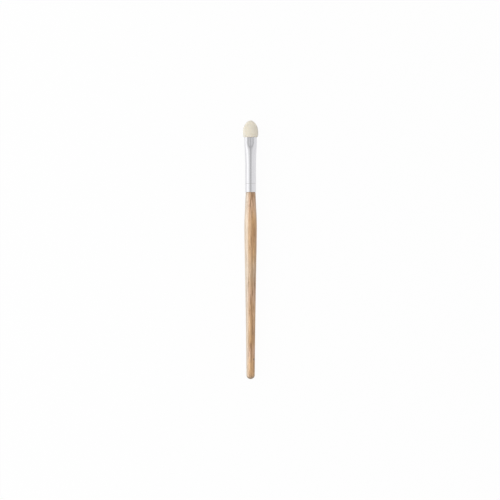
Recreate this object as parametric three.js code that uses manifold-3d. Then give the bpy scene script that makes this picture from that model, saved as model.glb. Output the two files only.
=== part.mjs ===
// Sponge-tip eye make-up applicator: a turned wooden handle, an aluminium ferrule pressed flat at
// its mouth, and a tip of two welded foam layers on a plastic paddle. Sizes are in millimetres.
// +Y runs from the butt of the handle to the tip of the sponge, and +Z is square to the flat of
// the tip. The applicator lies with the belly of its handle on Z = 0.
import * as THREE from "three";
import { mergeVertices } from "three/addons/utils/BufferGeometryUtils.js";
import Module from "manifold-3d";

// Handle: a domed butt, a long taper up to the belly, a short swell back down to the shoulder.
const HANDLE_LENGTH = 119;
const BUTT_DIAMETER = 5.3;
const DOME_LENGTH = 2.6;
const TAPER_REACH = 50;
const TAPER_RISE = 0.45;
const BELLY_DIAMETER = 8;
const BELLY_BELOW_SHOULDER = 23;
const BELLY_REACH_DOWN = 10;
const BELLY_REACH_UP = 7;
const SHOULDER_DIAMETER = 6.3;
const SHOULDER_REACH = 8;
const SHOULDER_RISE = 0.32;
const SHOULDER_ROUND = 0.3;
const TENON_LENGTH = 12.5;
const TENON_CHAMFER = 0.9;

// Ferrule: a drawn tube, round and crimped at the handle, pressed between flat jaws at the mouth.
const FERRULE_LENGTH = 35;
const FERRULE_DIAMETER = 6.8;
const FERRULE_WALL = 0.35;
const RIM_BREAK = 0.1;
const MOUTH_THICKNESS = 4.7;
const JAW_LENGTH = 4;
const PRESS_RUN = 15;
const SPRING_RUN = 3.5;
const CRIMP_ABOVE_RIM = 5.5;
const CRIMP_WIDTH = 0.8;
const CRIMP_DEPTH = 0.12;

// Sponge: two foam layers, crowned outside, welded round the rim and necked into the mouth.
const SPONGE_WIDTH = 9.8;
const SPONGE_HEIGHT = 10.9;
const SPONGE_THICKNESS = 5.8;
const SPONGE_CROWN = 7;
const CROWN_FULLNESS = 1.8;
const SPONGE_BULGE = 1.6;
const SPONGE_LIP = 0.15;
const SPONGE_NECK = 6.5;
const RIM_PINCH = 1.3;

// Paddle: a flat plastic blade inside the foam, on a notched stem that is glued into the ferrule.
const PADDLE_THICKNESS = 1.4;
const BLADE_WIDTH = 5.4;
const BLADE_HEIGHT = 7.6;
const BLADE_FLARE = 1.6;
const STEM_WIDTH = 3.8;
const STEM_DEPTH = 15;
const NOTCH_COUNT = 3;
const NOTCH_PITCH = 1.8;
const NOTCH_DEPTH = 0.5;
const NOTCH_ABOVE_TAIL = 1;

// Glue: a plug round the stem, and the bead squeezed out past the end of the tenon.
const PLUG_BELOW_STEM = 2;
const BEAD_CLIMB = 0.7;

// Clearances: the glue line between bonded pieces, the seat of one rim on another, the foam weld.
const GLUE_LINE = 0.15;
const SEAT_GAP = 0.1;
const WELD_GAP = 0.2;

// Facets: sides of the round pieces and steps along the curves.
const HANDLE_SIDES = 40;
const FERRULE_SIDES = 48;
const SPONGE_SIDES = 44;
const DOME_STEPS = 7;
const TAPER_STEPS = 20;
const SWELL_STEPS = 10;
const SHOULDER_STEPS = 3;
const CRIMP_STEPS = 6;
const PRESS_STEPS = 15;
const BULGE_STEPS = 4;
const CROWN_STEPS = 9;
const BLADE_STEPS = 12;
const WELD_TOLERANCE = 1e-4;

// Radii and places that follow from the sizes above, with Y = 0 at the butt.
const bellyRadius = BELLY_DIAMETER / 2;
const shoulderRadius = SHOULDER_DIAMETER / 2;
const ferruleRadius = FERRULE_DIAMETER / 2;
const boreRadius = ferruleRadius - FERRULE_WALL;
const tenonRadius = boreRadius - GLUE_LINE;
const jawHalf = MOUTH_THICKNESS / 2;
const rimY = HANDLE_LENGTH + SEAT_GAP;
const crimpY = rimY + CRIMP_ABOVE_RIM;
const tenonTopY = HANDLE_LENGTH + TENON_LENGTH;
const mouthY = rimY + FERRULE_LENGTH;
const tipY = mouthY + SPONGE_HEIGHT;
const crownY = tipY - SPONGE_CROWN;
const stemTailY = mouthY - STEM_DEPTH;
const plugTopY = mouthY - SPONGE_NECK - GLUE_LINE;
const plugBottomY = stemTailY - PLUG_BELOW_STEM;

const wasm = await Module();
wasm.setup();

// A closed geometry as a solid that can be joined and cut.
function toSolid(geometry) {
  const bare = geometry.clone();
  bare.deleteAttribute("normal");
  bare.deleteAttribute("uv");
  const welded = mergeVertices(bare, WELD_TOLERANCE);
  const mesh = new wasm.Mesh({
    numProp: 3,
    vertProperties: welded.attributes.position.array,
    triVerts: welded.index.array,
  });
  return new wasm.Manifold(mesh);
}

// A solid as a geometry that can be shown.
function toGeometry(solid) {
  const mesh = solid.getMesh();
  const geometry = new THREE.BufferGeometry();
  geometry.setAttribute("position", new THREE.BufferAttribute(mesh.vertProperties, 3));
  geometry.setIndex(new THREE.BufferAttribute(mesh.triVerts, 1));
  geometry.computeVertexNormals();
  return geometry;
}

// Turns a profile of [radius, y] points round the Y axis, with a flat side facing -Z.
function turned(profile, sides) {
  const points = profile.map(([radius, y]) => new THREE.Vector2(radius, y));
  return new THREE.LatheGeometry(points, sides).rotateY(Math.PI / sides);
}

function curvePoints(curve, steps) {
  return curve.getPoints(steps).map((point) => [point.x, point.y]);
}

function bezier(corners, steps) {
  const controls = corners.map(([radius, y]) => new THREE.Vector2(radius, y));
  return curvePoints(new THREE.CubicBezierCurve(...controls), steps);
}

// The rolled crimp: the same dip in the ferrule's two walls and in the tenon under it.
function crimpPoints(radius) {
  return Array.from({ length: CRIMP_STEPS + 1 }, (_, step) => {
    const share = step / CRIMP_STEPS;
    const dip = CRIMP_DEPTH * Math.sin(Math.PI * share) ** 2;
    return [radius - dip, crimpY + (share - 0.5) * CRIMP_WIDTH];
  });
}

// Half the ferrule's thickness at a height: the jaws hold it flat, then it eases back to round.
function pressedHalf(y) {
  const run = THREE.MathUtils.clamp((mouthY - JAW_LENGTH - y) / PRESS_RUN, 0, 1);
  return THREE.MathUtils.lerp(jawHalf, ferruleRadius, Math.sin((run * Math.PI) / 2));
}

// The place of a point of the pressed tube, from its angle on the round tube and its depth under
// the tube's skin. The girth stays as it was, so the tube widens as it is pressed. Past the jaws the
// flats spring back to an oval of the same width.
function pressedPoint(angle, depth, y) {
  const half = pressedHalf(y);
  const flat = (Math.PI / 2) * (ferruleRadius - half);
  const quarter = Math.asin(Math.abs(Math.sin(angle)));
  const girth = quarter * ferruleRadius;
  const bend = (half * Math.PI) / 2;
  const turn = Math.min(girth, bend) / half;
  const along = flat - Math.max(0, girth - bend) + (half - depth) * Math.cos(turn);
  const across = (half - depth) * Math.sin(turn);
  const facingX = Math.sign(Math.cos(angle));
  const facingZ = Math.sign(Math.sin(angle));
  const pinched = new THREE.Vector3(facingX * along, y, facingZ * across);
  const wide = flat + half - depth;
  const high = Math.sqrt(2 * ferruleRadius ** 2 - (flat + half) ** 2) - depth;
  const oval = new THREE.Vector3(wide * Math.cos(angle), y, high * Math.sin(angle));
  return pinched.lerp(oval, THREE.MathUtils.smoothstep(mouthY - JAW_LENGTH - y, 0, SPRING_RUN));
}

// Presses a tube that was turned round the Y axis. Points on the axis stay where they are.
function pressed(geometry) {
  const place = geometry.attributes.position;
  for (let i = 0; i < place.count; i += 1) {
    const radius = Math.hypot(place.getX(i), place.getZ(i));
    if (radius < WELD_TOLERANCE) continue;
    const angle = Math.atan2(place.getZ(i), place.getX(i));
    const point = pressedPoint(angle, ferruleRadius - radius, place.getY(i));
    place.setXYZ(i, point.x, point.y, point.z);
  }
  return geometry;
}

// The heights at which the pressed stretch between two heights is stepped.
function pressHeights(low, high) {
  const start = mouthY - JAW_LENGTH - PRESS_RUN;
  const steps = Array.from({ length: PRESS_STEPS + 1 }, (_, i) => start + (PRESS_RUN * i) / PRESS_STEPS);
  return [low, ...steps.filter((y) => y > low && y < high), high];
}

function handle() {
  const buttRadius = BUTT_DIAMETER / 2;
  const bellyY = HANDLE_LENGTH - BELLY_BELOW_SHOULDER;
  const roundY = HANDLE_LENGTH - SHOULDER_ROUND;
  const dome = new THREE.EllipseCurve(0, DOME_LENGTH, buttRadius, DOME_LENGTH, -Math.PI / 2, 0);
  const taper = bezier(
    [
      [buttRadius, DOME_LENGTH],
      [buttRadius + TAPER_RISE, DOME_LENGTH + TAPER_REACH],
      [bellyRadius, bellyY - BELLY_REACH_DOWN],
      [bellyRadius, bellyY],
    ],
    TAPER_STEPS,
  );
  const swell = bezier(
    [
      [bellyRadius, bellyY],
      [bellyRadius, bellyY + BELLY_REACH_UP],
      [shoulderRadius + SHOULDER_RISE, roundY - SHOULDER_REACH],
      [shoulderRadius, roundY],
    ],
    SWELL_STEPS,
  );
  const round = new THREE.EllipseCurve(
    shoulderRadius - SHOULDER_ROUND,
    roundY,
    SHOULDER_ROUND,
    SHOULDER_ROUND,
    0,
    Math.PI / 2,
  );
  const profile = [
    [0, 0],
    ...curvePoints(dome, DOME_STEPS).slice(1),
    ...taper.slice(1),
    ...swell.slice(1),
    ...curvePoints(round, SHOULDER_STEPS).slice(1),
    [tenonRadius, HANDLE_LENGTH],
    ...crimpPoints(tenonRadius),
    [tenonRadius, tenonTopY - TENON_CHAMFER],
    [tenonRadius - TENON_CHAMFER, tenonTopY],
    [0, tenonTopY],
  ];
  return turned(profile, HANDLE_SIDES);
}

// A closed wall: up the outside, over the mouth, down the bore and round the lower rim.
function ferrule() {
  const heights = pressHeights(crimpY + CRIMP_WIDTH, mouthY - RIM_BREAK);
  const profile = [
    [ferruleRadius - RIM_BREAK, rimY],
    [ferruleRadius, rimY + RIM_BREAK],
    ...crimpPoints(ferruleRadius),
    ...heights.map((y) => [ferruleRadius, y]),
    [ferruleRadius - RIM_BREAK, mouthY],
    [boreRadius + RIM_BREAK, mouthY],
    ...heights.map((y) => [boreRadius, y]).reverse(),
    ...crimpPoints(boreRadius).reverse(),
    [boreRadius, rimY + RIM_BREAK],
    [boreRadius + RIM_BREAK, rimY],
    [ferruleRadius - RIM_BREAK, rimY],
  ];
  return pressed(turned(profile, FERRULE_SIDES));
}

// A closed skin over rings of points, each ring with as many points, capped at two end points.
function loft(rings, start, end) {
  const sides = rings[0].length;
  const points = [...rings.flat(), start, end];
  const startIndex = rings.length * sides;
  const faces = [];
  for (let side = 0; side < sides; side += 1) {
    const next = (side + 1) % sides;
    faces.push(startIndex, side, next);
    for (let ring = 0; ring + 1 < rings.length; ring += 1) {
      const below = ring * sides;
      const above = below + sides;
      faces.push(below + side, above + side, above + next, below + side, above + next, below + next);
    }
    const top = (rings.length - 1) * sides;
    faces.push(startIndex + 1, top + next, top + side);
  }
  const geometry = new THREE.BufferGeometry().setFromPoints(points);
  geometry.setIndex(faces);
  return geometry;
}

function ring(pointAt) {
  return Array.from({ length: SPONGE_SIDES }, (_, side) => pointAt((2 * Math.PI * side) / SPONGE_SIDES));
}

// A section of the sponge's head, thinned towards its welded rim.
function headRing(y, halfWidth, halfThickness) {
  return ring((angle) => {
    const lift = Math.sign(Math.sin(angle)) * Math.abs(Math.sin(angle)) ** RIM_PINCH;
    return new THREE.Vector3(halfWidth * Math.cos(angle), y, halfThickness * lift);
  });
}

function neckRing(y) {
  return ring((angle) => pressedPoint(angle, FERRULE_WALL + GLUE_LINE, y));
}

// Both foam layers as one body: the neck in the mouth, the bulge over its rim, the crowned head,
// whose outline is a little leaner than an ellipse, which has a fullness of 2.
function spongeBody() {
  const halfWidth = SPONGE_WIDTH / 2;
  const halfThickness = SPONGE_THICKNESS / 2;
  const seatY = mouthY + SEAT_GAP;
  const lipWidth = (Math.PI / 2) * (ferruleRadius - jawHalf) + jawHalf + SPONGE_LIP;
  const lipThickness = jawHalf + SPONGE_LIP;
  const lean = 2 / CROWN_FULLNESS;
  const rings = [neckRing(mouthY - SPONGE_NECK), neckRing(mouthY - JAW_LENGTH), neckRing(seatY)];
  for (let step = 0; step <= BULGE_STEPS; step += 1) {
    const turn = (step / BULGE_STEPS) * (Math.PI / 2);
    const width = THREE.MathUtils.lerp(lipWidth, halfWidth, Math.sin(turn));
    const thickness = THREE.MathUtils.lerp(lipThickness, halfThickness, Math.sin(turn));
    rings.push(headRing(seatY + SPONGE_BULGE * (1 - Math.cos(turn)), width, thickness));
  }
  for (let step = 0; step < CROWN_STEPS; step += 1) {
    const turn = (step / CROWN_STEPS) * (Math.PI / 2);
    const narrowed = Math.cos(turn) ** lean;
    const y = crownY + SPONGE_CROWN * Math.sin(turn) ** lean;
    rings.push(headRing(y, halfWidth * narrowed, halfThickness * narrowed ** RIM_PINCH));
  }
  const start = new THREE.Vector3(0, mouthY - SPONGE_NECK, 0);
  const end = new THREE.Vector3(0, tipY, 0);
  return toSolid(loft(rings, start, end));
}

// One foam layer: the half of the sponge on one side of the weld, hollowed for the paddle.
function spongeLayer(side) {
  const reach = SPONGE_WIDTH + SPONGE_HEIGHT + SPONGE_NECK + SPONGE_THICKNESS;
  const half = new THREE.BoxGeometry(2 * reach, 2 * reach, reach);
  half.translate(0, mouthY, side * (reach / 2 + WELD_GAP / 2));
  return toGeometry(spongeBody().intersect(toSolid(half)).subtract(toSolid(paddle(GLUE_LINE))));
}

// One edge of the paddle from its tail up to the blade's round end, as [half width, y] points.
function paddleEdge(grow) {
  const stem = STEM_WIDTH / 2 + grow;
  const blade = BLADE_WIDTH / 2 + grow;
  const edge = [[stem, stemTailY - grow]];
  for (let notch = 0; notch < NOTCH_COUNT; notch += 1) {
    const y = stemTailY + NOTCH_ABOVE_TAIL + notch * NOTCH_PITCH;
    edge.push([stem, y], [stem - NOTCH_DEPTH, y + NOTCH_DEPTH], [stem, y + 2 * NOTCH_DEPTH]);
  }
  edge.push([stem, mouthY], [blade, mouthY + BLADE_FLARE]);
  return edge;
}

// The paddle, or with grow the hollow that it fills in the foam and in the glue.
function paddle(grow) {
  const edge = paddleEdge(grow);
  const shape = new THREE.Shape();
  edge.forEach(([half, y], i) => (i === 0 ? shape.moveTo(half, y) : shape.lineTo(half, y)));
  shape.absarc(0, mouthY + BLADE_HEIGHT - BLADE_WIDTH / 2, BLADE_WIDTH / 2 + grow, 0, Math.PI);
  edge.reverse().forEach(([half, y]) => shape.lineTo(-half, y));
  const depth = PADDLE_THICKNESS + 2 * grow;
  const options = { depth, bevelEnabled: false, curveSegments: BLADE_STEPS };
  return new THREE.ExtrudeGeometry(shape, options).translate(0, 0, -depth / 2);
}

// The cured glue that fills the ferrule round the stem, under the necks of the foam.
function gluePlug() {
  const walls = pressHeights(plugBottomY, plugTopY).map((y) => [boreRadius - GLUE_LINE, y]);
  const fill = pressed(turned([[0, plugBottomY], ...walls, [0, plugTopY]], FERRULE_SIDES));
  return toGeometry(toSolid(fill).subtract(toSolid(paddle(GLUE_LINE))));
}

// The bead of glue that the tenon pushes ahead of it, between its chamfer and the bore.
function glueBead() {
  const clear = GLUE_LINE * Math.SQRT2;
  const outerY = tenonTopY - TENON_CHAMFER + clear;
  const innerY = tenonTopY + clear;
  const profile = [
    [tenonRadius, outerY],
    [tenonRadius, innerY + BEAD_CLIMB],
    [tenonRadius - TENON_CHAMFER / 2, innerY + BEAD_CLIMB / 4],
    [tenonRadius - TENON_CHAMFER, innerY],
    [tenonRadius, outerY],
  ];
  return turned(profile, HANDLE_SIDES);
}

const wood = new THREE.MeshStandardMaterial({ color: 0xc8a47e, roughness: 0.6, metalness: 0 });
const aluminium = new THREE.MeshStandardMaterial({ color: 0xd6d7da, roughness: 0.25, metalness: 1 });
const foam = new THREE.MeshStandardMaterial({ color: 0xe9dfca, roughness: 0.95, metalness: 0 });
const plastic = new THREE.MeshStandardMaterial({ color: 0xf1f0ec, roughness: 0.45, metalness: 0 });
const glue = new THREE.MeshStandardMaterial({ color: 0xd9cfa8, roughness: 0.3, metalness: 0 });

function piece(name, geometry, material) {
  const mesh = new THREE.Mesh(geometry, material);
  mesh.name = name;
  return mesh;
}

const applicator = new THREE.Group();
applicator.add(
  piece("handle", handle(), wood),
  piece("ferrule", ferrule(), aluminium),
  piece("sponge_front", spongeLayer(1), foam),
  piece("sponge_back", spongeLayer(-1), foam),
  piece("core_paddle", paddle(0), plastic),
  piece("paddle_glue_plug", gluePlug(), glue),
  piece("handle_glue_bead", glueBead(), glue),
);
applicator.position.set(0, -tipY / 2, bellyRadius);

// The group that holds the laid-down applicator, with its frame under the middle of its length.
const part = new THREE.Group();
part.add(applicator);

export default part;
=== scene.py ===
"""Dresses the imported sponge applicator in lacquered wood, drawn aluminium and open-cell foam.

Sizes are in millimetres along the applicator's own axis, from the butt of its handle, and are named
after those in the part's source. Datum puts each finished mesh in the row frame, in metres.
"""

from __future__ import annotations

import logging
import math
from collections.abc import Iterable
from dataclasses import dataclass, field
from enum import Enum

import bmesh
import bpy
from mathutils import Matrix, Vector, geometry, noise

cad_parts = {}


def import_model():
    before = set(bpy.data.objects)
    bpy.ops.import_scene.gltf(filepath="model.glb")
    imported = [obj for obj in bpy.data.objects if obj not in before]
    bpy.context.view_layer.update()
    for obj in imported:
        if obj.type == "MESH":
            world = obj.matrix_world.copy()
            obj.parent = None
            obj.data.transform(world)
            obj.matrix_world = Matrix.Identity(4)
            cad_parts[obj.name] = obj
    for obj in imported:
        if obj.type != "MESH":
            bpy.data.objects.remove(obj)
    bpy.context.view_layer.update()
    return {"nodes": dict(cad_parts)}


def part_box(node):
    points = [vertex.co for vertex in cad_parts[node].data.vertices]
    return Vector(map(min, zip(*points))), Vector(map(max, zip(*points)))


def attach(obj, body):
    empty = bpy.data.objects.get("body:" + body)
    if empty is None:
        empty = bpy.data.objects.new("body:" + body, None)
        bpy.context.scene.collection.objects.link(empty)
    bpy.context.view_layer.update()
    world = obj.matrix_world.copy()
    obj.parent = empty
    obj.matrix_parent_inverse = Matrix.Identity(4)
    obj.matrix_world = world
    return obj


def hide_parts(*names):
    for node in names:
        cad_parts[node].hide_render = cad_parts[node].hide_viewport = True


Colour = tuple[float, float, float]
Place = tuple[float, float, float]
Point = tuple[float, float]
Pair = tuple[float, float]
Mesh = bmesh.types.BMesh
Material = bpy.types.Material
Node = bpy.types.Node
NodeTree = bpy.types.NodeTree
Piece = bpy.types.Object
Socket = bpy.types.NodeSocket
Value = Socket | float
Tint = Socket | Colour
Inputs = dict[str | int, object]

LOG = logging.getLogger("applicator")
MM = 0.001
QUARTER_TURN = math.pi / 2
MERGE_DISTANCE = 1e-4
# The room round what is glued in, and where the shoulder and the lip sit on the ferrule, in millimetres
GLUE_LINE = 0.15
SEAT_GAP = 0.1
# Nearly all of a noise texture's values lie in this span, and they swing about its middle by this much
NOISE_SPAN: Pair = (0.3, 0.7)
NOISE_MIDDLE = 0.5
NOISE_SWING = 0.25
# How far one unit of length turns the phase of a ring texture of scale 1, in radians
RING_RATE = 20.0


class Side(Enum):
    """The two foam layers, by the way that each one faces along Z."""

    FRONT = 1
    BACK = -1


class Slot(Enum):
    """The record's material slots for the pieces that are modelled here."""

    WOOD = "wood"
    METAL = "ferrule_metal"
    FOAM = "foam"


class Blend(Enum):
    """How one colour lies on another."""

    OVER = "MIX"
    TINT = "MULTIPLY"


# Placing and shaping


@dataclass(frozen=True)
class Datum:
    """Where the applicator lies in the row frame.

    Attributes:
        butt_y: the butt's end along Y, in metres.
        axis_z: the height of the handle's axis, in metres.
    """

    butt_y: float
    axis_z: float

    @classmethod
    def from_frame(cls) -> Datum:
        """Reads the butt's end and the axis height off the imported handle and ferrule.

        Returns:
            The datum.
        """
        handle_low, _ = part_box("handle")
        ferrule_low, ferrule_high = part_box("ferrule")
        return cls(handle_low.y, (ferrule_low.z + ferrule_high.z) / 2)

    def placing(self) -> Matrix:
        """The matrix from millimetres on the applicator's axis to the row frame."""
        return Matrix.Translation((0.0, self.butt_y, self.axis_z)) @ Matrix.Scale(MM, 4)

    def point(self, x: float, along: float, z: float) -> Vector:
        """A point given in millimetres on the applicator's axis, in the row frame."""
        return self.placing() @ Vector((x, along, z))


def linked(name: str, data: bpy.types.ID) -> Piece:
    """Makes an object of some data and links it to the scene.

    Args:
        name: the object's name.
        data: its mesh, lamp or lens.

    Returns:
        The object.
    """
    made = bpy.data.objects.new(name, data)
    bpy.context.scene.collection.objects.link(made)
    return made


def finished_piece(name: str, bm: Mesh, datum: Datum, crease_deg: float) -> Piece:
    """Makes an object at the origin from a mesh that was shaped in millimetres.

    Args:
        name: the piece's name.
        bm: the shaped mesh, which is freed here.
        datum: where the applicator lies.
        crease_deg: edges sharper than this stay sharp under smooth shading.

    Returns:
        The linked object.
    """
    bmesh.ops.transform(bm, matrix=datum.placing(), verts=bm.verts)
    mesh = bpy.data.meshes.new(name)
    bm.to_mesh(mesh)
    bm.free()
    mesh.shade_smooth()
    mesh.set_sharp_from_angle(angle=math.radians(crease_deg))
    return linked(name, mesh)


def seated(piece: Piece, material: Material, node: str) -> Piece:
    """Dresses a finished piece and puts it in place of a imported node.

    Args:
        piece: the finished piece.
        material: its finish.
        node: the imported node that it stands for.

    Returns:
        The piece.
    """
    piece.data.materials.append(material)
    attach(piece, "root")
    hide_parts(node)
    LOG.info("%s: %d faces, in place of %s", piece.name, len(piece.data.polygons), node)
    return piece


def face_outwards(bm: Mesh) -> None:
    """Turns the faces of a closed mesh outwards, and checks it by the volume that they enclose.

    Args:
        bm: the closed mesh.
    """
    bmesh.ops.recalc_face_normals(bm, faces=bm.faces)
    if bm.calc_volume(signed=True) < 0:
        bmesh.ops.reverse_faces(bm, faces=bm.faces)


def turned(profile: Iterable[Point], steps: int, closed: bool) -> Mesh:
    """Turns a profile of (radius, along) points round the Y axis.

    Args:
        profile: the points, from butt to tip on the outside.
        steps: facets in a full turn.
        closed: whether the last point joins the first.

    Returns:
        The turned skin, welded and facing outwards.
    """
    bm = bmesh.new()
    verts = [bm.verts.new((radius, along, 0.0)) for radius, along in profile]
    edges = [bm.edges.new(pair) for pair in zip(verts, verts[1:])]
    if closed:
        edges.append(bm.edges.new((verts[-1], verts[0])))
    bmesh.ops.spin(
        bm,
        geom=verts + edges,
        cent=(0, 0, 0),
        axis=(0, 1, 0),
        angle=2 * math.pi,
        steps=steps,
        use_merge=True,
    )
    bmesh.ops.remove_doubles(bm, verts=bm.verts, dist=MERGE_DISTANCE)
    face_outwards(bm)
    return bm


def bezier(corners: Iterable[Point], count: int) -> list[Point]:
    """Points along a cubic curve.

    Args:
        corners: the curve's end, two controls and other end, as (radius, along).
        count: how many points.

    Returns:
        The points, both ends included.
    """
    controls = [Vector((radius, along, 0.0)) for radius, along in corners]
    return [(point.x, point.y) for point in geometry.interpolate_bezier(*controls, count)]


def arc(centre: Point, radii: Pair, start: float, end: float, count: int) -> list[Point]:
    """Points along an elliptic arc.

    Args:
        centre: the ellipse's centre, as (radius, along).
        radii: its half widths across and along.
        start: the first angle, in radians.
        end: the last angle, in radians.
        count: how many points.

    Returns:
        The points, both ends included.
    """
    angles = [start + (end - start) * step / (count - 1) for step in range(count)]
    return [(centre[0] + radii[0] * math.cos(a), centre[1] + radii[1] * math.sin(a)) for a in angles]


def lerp(low: float, high: float, share: float) -> float:
    """The value a share of the way from low to high."""
    return low + (high - low) * share


def share_of(value: float, start: float, end: float) -> float:
    """How far a value has come from start to end, as a share."""
    return (value - start) / (end - start)


def clamped(value: float) -> float:
    """The value held between 0 and 1."""
    return min(1.0, max(0.0, value))


# Node sheets and shared effects


def opaque(colour: Tint) -> Socket | tuple[float, ...]:
    """A colour with full alpha, or the socket that was given."""
    return (*colour, 1.0) if isinstance(colour, tuple) else colour


@dataclass
class NodeSheet:
    """A node tree with short calls that add nodes and join them.

    Attributes:
        tree: the material's, world's or group's node tree.
    """

    tree: NodeTree

    def feed(self, node: Node, inputs: Inputs) -> Node:
        """Gives a node its inputs.

        Args:
            node: the node.
            inputs: values or sockets, by the name or number of the input.

        Returns:
            The node.
        """
        for key, value in inputs.items():
            if isinstance(value, Socket):
                self.tree.links.new(value, node.inputs[key])
            else:
                node.inputs[key].default_value = value
        return node

    def add(self, kind: str, inputs: Inputs | None = None, **settings: object) -> Node:
        """Adds a node.

        Args:
            kind: the node's type name.
            inputs: values or sockets, by the name or number of the input.
            settings: the node's own properties.

        Returns:
            The new node.
        """
        node = self.tree.nodes.new(kind)
        for name, value in settings.items():
            setattr(node, name, value)
        return self.feed(node, inputs or {})

    def math(self, operation: str, first: Value, second: Value = 0.0) -> Socket:
        """The result of a sum on two values or sockets."""
        return self.add("ShaderNodeMath", {0: first, 1: second}, operation=operation).outputs[0]

    def times(self, first: Value, second: Value) -> Socket:
        """The product of two values or sockets."""
        return self.math("MULTIPLY", first, second)

    def vector(self, operation: str, first: Socket, second: Socket | Place) -> Node:
        """A vector sum on two vectors or sockets."""
        return self.add("ShaderNodeVectorMath", {0: first, 1: second}, operation=operation)

    def stretched(self, place: Socket, across: float, along: float) -> Socket:
        """A place with its X and Z times one factor and its Y times another."""
        return self.vector("MULTIPLY", place, (across, along, across)).outputs[0]

    def axis(self, place: Socket, number: int) -> Socket:
        """One coordinate of a place: 0 is X, 1 is Y, 2 is Z."""
        return self.add("ShaderNodeSeparateXYZ", {0: place}).outputs[number]

    def remap(self, value: Socket, source: Pair, target: Pair = (0.0, 1.0)) -> Socket:
        """Eases a value from one range to another.

        Args:
            value: the socket to read.
            source: the range that it is read over, which may run downwards.
            target: the range that it is brought to.

        Returns:
            The eased value, held inside the target range.
        """
        inputs = {0: value, 1: source[0], 2: source[1], 3: target[0], 4: target[1]}
        node = self.add("ShaderNodeMapRange", inputs, interpolation_type="SMOOTHSTEP")
        return node.outputs[0]

    def blend(self, share: Value, first: Tint, second: Tint, how: Blend = Blend.OVER) -> Socket:
        """Mixes two colours.

        Args:
            share: how much of the second, as a number or a socket.
            first: the colour underneath.
            second: the colour on top.
            how: the way that it lies there.

        Returns:
            The mixed colour.
        """
        inputs = {0: share, 6: opaque(first), 7: opaque(second)}
        return self.add("ShaderNodeMix", inputs, data_type="RGBA", blend_type=how.value).outputs[2]

    def grey(self, value: Socket) -> Socket:
        """A grey of that value."""
        return self.add("ShaderNodeCombineColor", {0: value, 1: value, 2: value}).outputs[0]

    def ramp(self, value: Socket, stops: Iterable[tuple[float, Colour]]) -> Socket:
        """Reads a colour off a ramp.

        Args:
            value: the place on the ramp.
            stops: places and colours, in order.

        Returns:
            The colour.
        """
        node = self.add("ShaderNodeValToRGB", {0: value})
        elements = node.color_ramp.elements
        for number, (place, colour) in enumerate(stops):
            element = elements[number] if number < 2 else elements.new(place)
            element.position = place
            element.color = opaque(colour)
        return node.outputs[0]

    def bump(self, height: Socket, depth: float, strength: float) -> Socket:
        """The normal of a relief, by its height, its depth in millimetres and its strength."""
        inputs = {"Strength": strength, "Distance": depth * MM, "Height": height}
        return self.add("ShaderNodeBump", inputs).outputs[0]

    def mixed_shader(self, share: Value, first: Socket, second: Socket) -> Socket:
        """Two shaders mixed by a share of the second."""
        return self.add("ShaderNodeMixShader", {0: share, 1: first, 2: second}).outputs[0]

    def group(self, tree: NodeTree, inputs: Inputs) -> Socket:
        """Places a node group and gives its first output."""
        return self.add("ShaderNodeGroup", inputs, node_tree=tree).outputs[0]

    def millimetres(self, datum: Datum) -> Socket:
        """Object coordinates in millimetres on the applicator's own axis.

        Args:
            datum: where the applicator lies.

        Returns:
            The place as a vector.
        """
        place = self.add("ShaderNodeTexCoord").outputs["Object"]
        home = (0.0, -datum.butt_y / MM, -datum.axis_z / MM)
        inputs = {"Vector": place, "Location": home, "Scale": (1 / MM, 1 / MM, 1 / MM)}
        return self.add("ShaderNodeMapping", inputs).outputs[0]


def new_material(name: str) -> tuple[Material, NodeSheet, Node]:
    """Starts a material.

    Args:
        name: the material's name.

    Returns:
        The material, its node sheet and its shader node.
    """
    material = bpy.data.materials.new(name)
    material.use_nodes = True
    sheet = NodeSheet(material.node_tree)
    return material, sheet, material.node_tree.nodes["Principled BSDF"]


def new_group(name: str, inputs: dict[str, str], output: str) -> tuple[NodeSheet, Node, Node]:
    """Starts a shader node group.

    Args:
        name: the group's name.
        inputs: socket types by input name.
        output: the name of its one output, a value.

    Returns:
        The group's sheet, its input node and its output node.
    """
    tree = bpy.data.node_groups.new(name, "ShaderNodeTree")
    for label, kind in inputs.items():
        tree.interface.new_socket(label, in_out="INPUT", socket_type=kind)
    tree.interface.new_socket(output, in_out="OUTPUT", socket_type="NodeSocketFloat")
    sheet = NodeSheet(tree)
    return sheet, sheet.add("NodeGroupInput"), sheet.add("NodeGroupOutput")


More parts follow.
